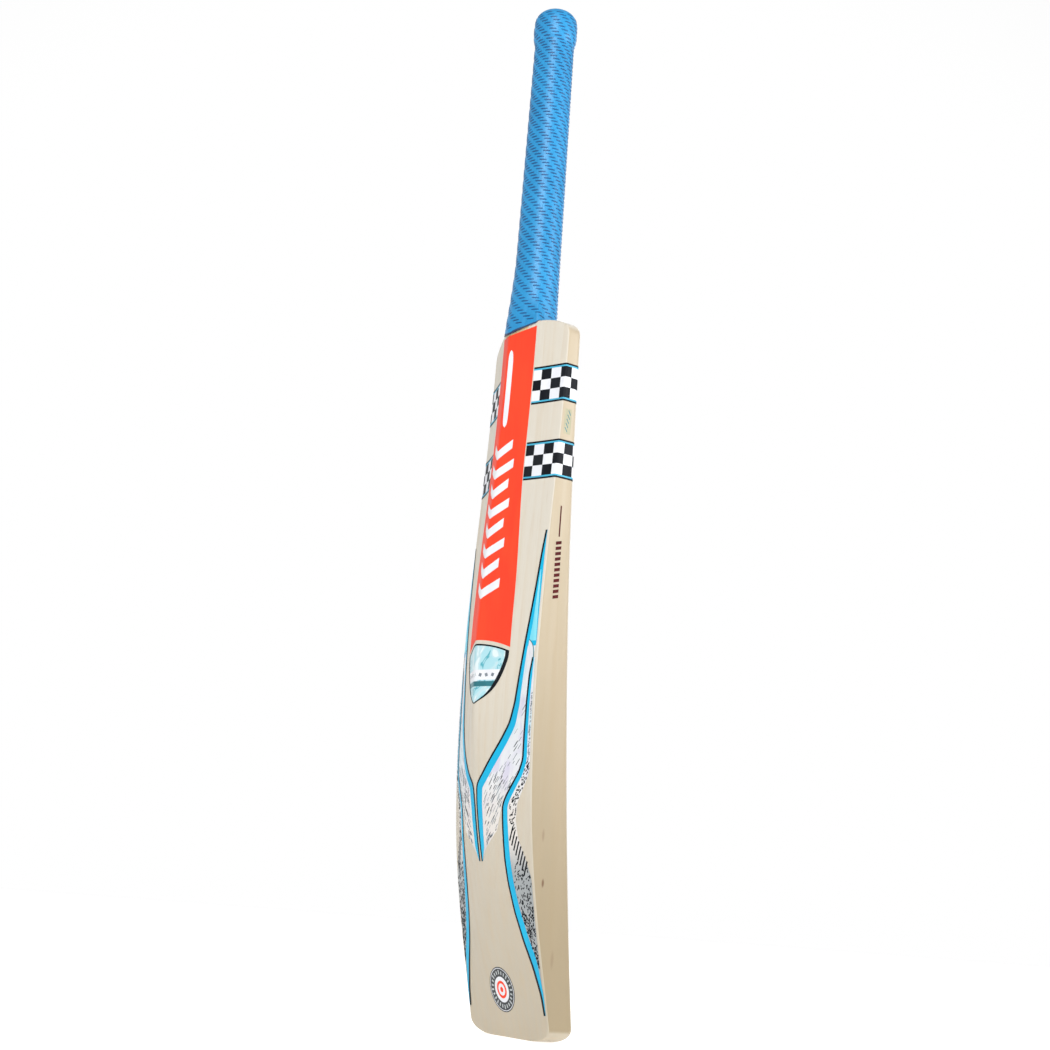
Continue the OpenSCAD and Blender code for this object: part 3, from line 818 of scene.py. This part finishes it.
def inner_panel(side, suffix, draw):
    b = Build()
    near, far = panel_sheet(b, side, INNER_LINE, INNER_FAR)
    ribbon(b, INNER_LINE, lambda t: -1.7 + 0.8 * smooth(t / 0.35), 0.5, 3, LINE, side)
    along = [0, 0.05, 0.15, 0.3, 0.42, 0.6, 0.75, 0.95, 1]
    width = [0.7, 2.2, 6, 5.4, 5, 3.9, 3, 2.2, 0.8]
    ribbon(b, INNER_LINE, 0.5, lambda t: np.interp(t, along, width), 2, BORDER, side)
    # Speckles: thick below the steep strokes, thinner and paler upwards
    for _ in range(1500):
        z = draw.uniform(46, 282)
        a = float(near(z)) + (6.2 if z < 190 else 3.8)
        c = float(far(z)) - 0.6
        if c < a + 0.2:
            continue
        u = draw.uniform(a, c)
        if z < 129:
            dense = 0.6 + 0.4 * math.exp(-(((z - 88) / 9) ** 2))
            if draw.random() < dense:
                lean = side * draw.uniform(-0.5, 0.9)
                long, thick = draw.uniform(0.9, 2.0), draw.uniform(0.5, 0.9)
                stroke(b, side * u, z, long, thick, lean, 2, LINE)
        elif z > 151 and draw.random() < (0.3 if z < 200 else 0.18):
            long, thick = draw.uniform(0.9, 2.0), draw.uniform(0.4, 0.8)
            stroke(b, side * u, z, long, thick, side * 0.5, 2, LINE if z < 205 else INK)
    # Steep dark strokes, side by side, where the panel widens again
    for k in range(8):
        stroke(b, side * (36 + 1.6 * k), 150 - 3.6 * k, 11, 1.15, side * 0.33, 2, LINE)
    b.piece(
        "inner_panel_print_" + suffix,
        [SILVER, BLACK, CYAN, GREY],
        ["inner_panel_" + suffix],
    )


# ---- Round label, foil and stamp ----


def disc(b, u0, z0, inner, outer, level, kind, start=0.0, end=2 * math.pi, cols=None):
    """A ring or a part of one. A full disc has an inner radius near zero."""
    count = cols or max(8, int(72 * (end - start) / (2 * math.pi)))
    a = np.linspace(start, end, count)[None, :]
    r = np.linspace(inner, outer, max(2, int((outer - inner) / 1.6) + 1))[:, None]
    layer(b, u0 + r * np.sin(a), z0 + r * np.cos(a), level, kind)


def roundel():
    b = Build()
    z0, r = 35, 16.5
    disc(b, 0, z0, 0.05, r, 0, 0)
    disc(b, 0, z0, r - 1.3, r - 0.8, 1, 1)
    disc(b, 0, z0, 0.05, 9.4, 1, 1)
    for k in range(24):
        a = 2 * math.pi * k / 24
        disc(b, 0, z0, 11, 13.6 if k % 3 else 14.2, 1, 2, a, a + 0.10, 4)
    disc(b, 0, z0, 4.4, 6.4, 2, 3)
    disc(b, 0, z0, 0.05, 2.0, 2, 3)
    b.piece("toe_roundel_print", [RING, WHITE, TICK, RED], ["toe_roundel"])


def edge_places(low, high, z0, z1, rows=2):
    """Distances down the right edge, counted from the middle of the edge."""
    z = np.linspace(z0, z1, rows)[:, None]
    middle = HALF_W + (back_y(HALF_W, z) - front_y(HALF_W, z)) / 2
    return -(middle + np.array([low, high])[None, :]), z


def foil():
    b = Build()
    u, z = edge_places(-3.4, 3.4, 464, 485, 6)
    layer(b, u, z, 0, 0)
    for k in range(5):
        middle = float(-edge_places(0, 0, 467 + 3.6 * k, 468, 2)[0][0, 0])
        stroke(b, -(middle - 1.2 + 0.6 * k), 467.5 + 3.6 * k, 4.5, 0.7, 0.55, 1, 1)
    b.piece("edge_foil_print", [FOIL, TEAL], ["edge_foil"])


def stamp(b):
    """Plain slanted bars and a thin rule, inked on the right edge."""
    for k in range(11):
        u, z = edge_places(-2.6, 2.6, 330 + 4.3 * k, 332.6 + 4.3 * k)
        layer(b, u, z + np.array([[0.0, 1.5]]), 0, 1)
    u, z = edge_places(-0.6, 0.6, 380, 405, 8)
    layer(b, u, z, 0, 1)


# ---- Grip ----

GRIP_R_LOW, GRIP_R_TOP, ROLL_R, HOLE_R = 18.5, 16.8, 18.6, 5
FLARE_Z, FOOT_Z, ROLL_Z = 625, 555, 828
CANE_R_LOW, CANE_R_TOP, ROOT_R, ROOT_Y, FAIR_Z, BINDING_T = 16.4, 14.6, 16.8, 4, 600, 0.6
ROLL = [  # the roll and the dome over it: height, radius
    (ROLL_Z - 2, GRIP_R_TOP), (ROLL_Z, GRIP_R_TOP + 0.1), (ROLL_Z + 2.5, ROLL_R - 0.8),
    (ROLL_Z + 7, ROLL_R - 0.1), (BAT_LEN - 18, ROLL_R), (BAT_LEN - 12.5, ROLL_R - 0.2),
    (BAT_LEN - 8, ROLL_R - 1.1), (BAT_LEN - 4.6, ROLL_R - 3.1), (BAT_LEN - 2.2, ROLL_R - 6),
    (BAT_LEN - 0.6, ROLL_R - 9.4), (BAT_LEN, HOLE_R + 2), (BAT_LEN - 0.7, HOLE_R + 0.2),
    (BAT_LEN - 2, HOLE_R),
]
ROLL_SIDE = ROLL[:9]  # as far as the outside can be told from the height


def from_back(a):
    """Degrees round the handle from the spine side."""
    return np.degrees(np.arccos(np.clip(np.sin(a), -1, 1)))


def blade_r(z, a):
    """Radius of the blade's section from the handle's axis, towards the spine or the face."""
    up = np.where(np.abs(np.sin(a)) < 0.3, 0.3, np.abs(np.sin(a)))
    r = np.full_like(up + z, 20.0)
    for _ in range(24):
        x = r * np.cos(a)
        edge = np.where(np.sin(a) < 0, AXIS_Y - front_y(x, z), back_y(x, z) - AXIS_Y)
        r = (r + edge / up) / 2
    return r


def plain_sleeve_r(z, a):
    plain = mix(GRIP_R_LOW, GRIP_R_TOP, clamp01((z - FLARE_Z) / (ROLL_Z - FLARE_Z)))
    flare = clamp01((FLARE_Z - z) / (FLARE_Z - FOOT_Z)) ** 1.3
    return plain + flare * (0.6 + 5 * (1 + np.sin(a)) / 2)


def sleeve_r(z, a):
    """The sleeve's outside. Beside the spine its foot is stretched to hug the blade's facets."""
    level = SHOULDER_Z - 3
    hug = np.clip(blade_r(level, a) + 1.2 - plain_sleeve_r(level, a), 0, 5.5)
    hug = hug * (1 - smooth((from_back(a) - 64) / 18))
    roll = np.interp(z, [p[0] for p in ROLL_SIDE], [p[1] for p in ROLL_SIDE])
    low = plain_sleeve_r(z, a) + hug * (1 - smooth((z - FOOT_Z - 5) / 34))
    return np.where(z > ROLL_Z - 2, roll, low)


def foot_z(a):
    """The foot reaches down over the spine and the face, and stands on the shoulders between."""
    d = from_back(a)
    rise = np.where(d < 90, np.interp(d, [4, 60, 68], [0, 0.72, 1]), smooth((162 - d) / 17))
    return mix(FOOT_Z, SHOULDER_Z + 0.2, rise)


def hole_r(z, a):
    t = clamp01((z - SHOULDER_Z) / (FAIR_Z - SHOULDER_Z))
    root = mix(ROOT_R + ROOT_Y * np.sin(a), CANE_R_LOW, t)
    taper = (CANE_R_LOW - CANE_R_TOP) * clamp01((z - FAIR_Z) / (CANE_TOP - FAIR_Z))
    inside = root - taper + BINDING_T + 0.15
    low = np.minimum(np.maximum(inside, blade_r(z, a) + 0.15), sleeve_r(z, a) - 0.4)
    return np.where(z < SHOULDER_Z, low, inside)


def curve(points, per_gap):
    """A smooth path through the points."""
    p = np.array(points, float)
    q = np.concatenate([[2 * p[0] - p[1]], p, [2 * p[-1] - p[-2]]])
    out = []
    for i in range(1, len(q) - 2):
        for t in np.linspace(0, 1, per_gap, endpoint=False):
            a, b, c, d = q[i - 1], q[i], q[i + 1], q[i + 2]
            out.append(
                0.5
                * (
                    2 * b
                    + (c - a) * t
                    + (2 * a - 5 * b + 4 * c - d) * t**2
                    + (3 * b - a - 3 * c + d) * t**3
                )
            )
    return np.array(out + [p[-1]])


def polar(r, a, z):
    return np.stack([r * np.cos(a), AXIS_Y + r * np.sin(a), z + 0 * a], -1)


BAR_PITCH, BAR_GAP, BAR_LONG, BAR_TALL, BAR_RISE = 2.8, 10, 6.2, 1.25, 0.34


def bars(b):
    """Rows of short raised bars, each row a quarter of a gap round from the last."""
    around = round(2 * math.pi * (GRIP_R_LOW + GRIP_R_TOP) / 2 / BAR_GAP)
    rim = np.linspace(0, 2 * math.pi, 12, endpoint=False)
    s = np.clip(np.cos(rim) * 1.35, -1, 1)
    t = np.sin(rim)
    rings = [(1.0, 1.0, -0.1), (0.97, 0.86, BAR_RISE * 0.75), (0.88, 0.5, BAR_RISE)]
    n = len(rim)
    faces = grid_faces(len(rings), n, around=True)
    top = n * (len(rings) - 1)
    faces += [(top + i, top + (i + 1) % n, n * len(rings)) for i in range(n)]
    row = 0
    z = FOOT_Z + 3.0
    while z < BAT_LEN - 6:
        for k in range(around):
            a0 = 2 * math.pi * (k - row / 4) / around
            if z < float(foot_z(np.array(a0))) + 3:
                continue
            r0 = float(sleeve_r(np.array(z), np.array(a0)))
            points = []
            for sx, sz, lift in rings:
                a = a0 + s * sx * BAR_LONG / 2 / r0
                zz = z + t * sz * BAR_TALL / 2
                points.append(polar(sleeve_r(zz, a) + lift, a, zz))
            points.append(polar(np.array([r0 + BAR_RISE * 1.05]), np.array([a0]), np.array([z])))
            b.add(np.concatenate(points), faces, 1)
        row += 1
        z += BAR_PITCH


def grip():
    b = Build()
    a = np.linspace(0, 2 * math.pi, 120, endpoint=False)
    foot = foot_z(a)
    rings = [
        polar(hole_r(foot + 0.2, a), a, foot + 0.2),
        polar(mix(hole_r(foot, a), sleeve_r(foot, a), 0.4), a, foot),
        polar(sleeve_r(foot, a) - 0.15, a, foot),
        polar(sleeve_r(foot, a) + 0.02, a, foot + 0.25),
        polar(sleeve_r(foot + 1.1, a) + 0.02, a, foot + 1.1),
        polar(sleeve_r(foot + 1.25, a), a, foot + 1.25),
    ]
    lip = len(rings) - 1
    start = SHOULDER_Z + 6
    for t in np.linspace(0, 1, 9)[1:]:
        z = mix(foot + 1.25, start, t)
        rings.append(polar(sleeve_r(z, a), a, z))
    for z in np.arange(start + 3, ROLL_Z - 3, 4.0):
        rings.append(polar(sleeve_r(np.full_like(a, z), a), a, z))
    for z, r in curve(ROLL, 5):
        rings.append(polar(np.full_like(a, r), a, z))
    rings.append(polar(np.full_like(a, HOLE_R), a, CANE_TOP + 0.1))
    rings.append(polar(np.full_like(a, CANE_R_TOP + BINDING_T + 0.1), a, CANE_TOP + 0.1))
    for z in np.arange(CANE_TOP - 2, start, -12.0):
        rings.append(polar(hole_r(np.full_like(a, z), a), a, z))
    for t in np.linspace(0, 1, 5)[:-1]:
        z = mix(start, foot + 0.2, t)
        rings.append(polar(hole_r(z, a), a, z))
    n, m = len(a), len(rings)
    faces = grid_faces(m, n, around=True)
    faces += [((m - 1) * n + i, (m - 1) * n + (i + 1) % n, (i + 1) % n, i) for i in range(n)]
    b.add(np.concatenate(rings), faces)
    # The rings up to the lip take a dark navy rubber: painted shade on the sleeve's rim where it
    # meets the blade
    for i in range(lip * n):
        b.kinds[i] = 2
    bars(b)
    b.piece(
        "grip_sleeve",
        [
            grip_rubber("grip_rubber", (0.014, 0.255, 0.54), (0.011, 0.225, 0.49), 0.36),
            # The bars' dark navy rubber is painted shade, standing in for the shade along the
            # grip's grooves
            grip_rubber("grip_bar_painted_shade", (0.002, 0.085, 0.24), (0.001, 0.06, 0.18), 0.34),
            grip_rubber("grip_lip_painted_shade", (0.01, 0.03, 0.09), (0.015, 0.05, 0.12), 0.4),
        ],
        ["grip"],
        sharp=60,
    )


# ---- Putting it together ----

blade()
spine_label()
badge()
for suffix, side in (("left", 1), ("right", -1)):
    band("upper_band_print_" + suffix, "upper_band_" + suffix, 491, side, 0)
    band("lower_band_print_" + suffix, "lower_band_" + suffix, 427, side, 1)
    draw = random.Random(7 + side)
    outer_panel(side, suffix, draw)
    inner_panel(side, suffix, draw)
roundel()
foil()
grip()

inside = {"cane": cane(), "rubber_spring": sheet_rubber(), "thread_binding": thread()}
for name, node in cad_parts.items():
    for start, material in inside.items():
        if name.startswith(start):
            node.data.materials.clear()
            node.data.materials.append(material)

# ---- Studio ----


def floor():
    s = Shader("floor", rough=0.6, spec=0.2)
    s.bsdf.inputs["Emission Color"].default_value = (1, 1, 1, 1)
    s.bsdf.inputs["Emission Strength"].default_value = 0.6
    tone = s.span(s.noise(s.where, 3, 2), 0.3, 0.7)
    s.finish(s.blend(tone, (0.86, 0.86, 0.86), (0.88, 0.88, 0.88)))
    bpy.ops.mesh.primitive_circle_add(vertices=96, radius=60, fill_type="NGON", location=(0, 0, 0))
    ground = bpy.context.object
    ground.name = "floor"
    ground.data.materials.append(s.material)


def area_light(name, place, target, size, power, colour=(1, 1, 1)):
    data = bpy.data.lights.new(name, "AREA")
    data.shape = "DISK"
    data.size = size
    data.energy = power
    data.color = colour
    light = bpy.data.objects.new(name, data)
    light.location = place
    light.rotation_euler = (Vector(target) - Vector(place)).to_track_quat("-Z", "Y").to_euler()
    bpy.context.scene.collection.objects.link(light)


floor()
middle = (0, 0, 0.43)
area_light("key", (-1.9, 1.5, 1.8), middle, 1.2, 40)
area_light("side", (-1.7, -1.2, 1.0), middle, 0.7, 20)
area_light("face_fill", (1.6, -1.6, 1.4), middle, 1.6, 8)


def studio_world(towards, bright, dim):
    """A white room, brighter towards one side and dimmer on the opposite side."""
    world = bpy.data.worlds.new("studio")
    world.use_nodes = True
    nodes, links = world.node_tree.nodes, world.node_tree.links
    place = nodes.new("ShaderNodeTexCoord")
    dot = nodes.new("ShaderNodeVectorMath")
    dot.operation = "DOT_PRODUCT"
    dot.inputs[1].default_value = Vector(towards).normalized()
    level = nodes.new("ShaderNodeMapRange")
    level.interpolation_type = "SMOOTHSTEP"
    for socket, value in zip(level.inputs[1:], (0.55, 0.9, dim, bright)):
        socket.default_value = value
    links.new(place.outputs["Generated"], dot.inputs[0])
    links.new(dot.outputs["Value"], level.inputs[0])
    background = nodes["Background"]
    background.inputs["Color"].default_value = (1, 1, 1, 1)
    links.new(level.outputs[0], background.inputs["Strength"])
    bpy.context.scene.world = world


studio_world((0.84, -0.54, 0.1), 1.0, 0.5)
bpy.context.scene.view_settings.view_transform = "Standard"

# The camera stands low, off the right edge on the spine side, and looks slightly up
CAMERA_AT = Vector((-1.083, 0.7003 + AXIS_Y * MM, 0.0828))
LOOK_AT = Vector((-0.0029, -0.0045 + AXIS_Y * MM, 0.3979))
CAMERA_ROLL = math.radians(4.27)
camera_data = bpy.data.cameras.new("camera")
camera_data.sensor_width = 36
camera_data.lens = 56.19
camera = bpy.data.objects.new("camera", camera_data)
camera.location = CAMERA_AT
camera.rotation_mode = "QUATERNION"
camera.rotation_quaternion = (LOOK_AT - CAMERA_AT).to_track_quat("-Z", "Y") @ Quaternion(
    (0, 0, 1), CAMERA_ROLL
)
bpy.context.scene.collection.objects.link(camera)
bpy.context.scene.camera = camera
